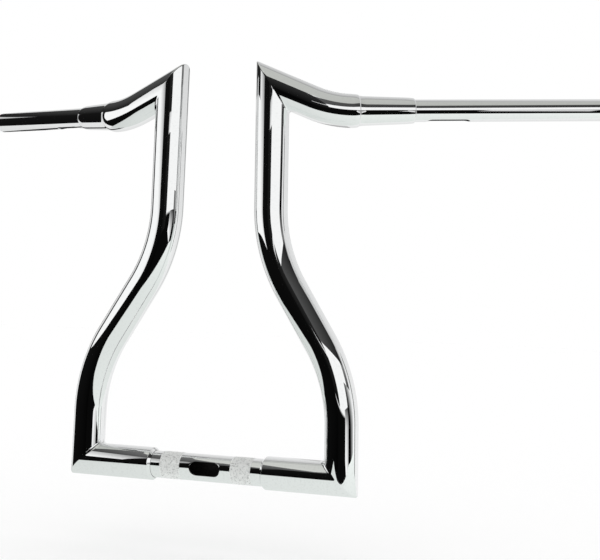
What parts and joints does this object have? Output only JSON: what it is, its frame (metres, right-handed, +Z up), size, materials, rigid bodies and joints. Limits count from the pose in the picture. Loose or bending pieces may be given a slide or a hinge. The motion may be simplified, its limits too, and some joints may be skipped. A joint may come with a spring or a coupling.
{
  "type": "motorcycle handlebar",
  "caption": "Tall chromed motorcycle handlebar with pointed top corners, S-bent uprights, knurled clamp tube with a wiring slot, and swept-back grip tubes.",
  "frame": {"origin": "on the axis of the clamp tube, midway between the two knurled bands that the riser clamps hold", "axes": "+X to the rider's left, +Y back towards the rider, +Z up along the uprights"},
  "size_m": [0.8243, 0.1951, 0.487],
  "materials": {
    "chrome": "polished chrome plate on steel tube, the two bands under the riser clamps knurled"
  },
  "bodies": {
    "root": {"clamp_tube": "chrome", "base_tube_left": "chrome", "base_tube_right": "chrome", "upright_left": "chrome", "upright_right": "chrome", "shoulder_left": "chrome", "shoulder_right": "chrome", "collar_left": "chrome", "collar_right": "chrome", "grip_tube_left": "chrome", "grip_tube_right": "chrome"}
  },
  "joints": []
}
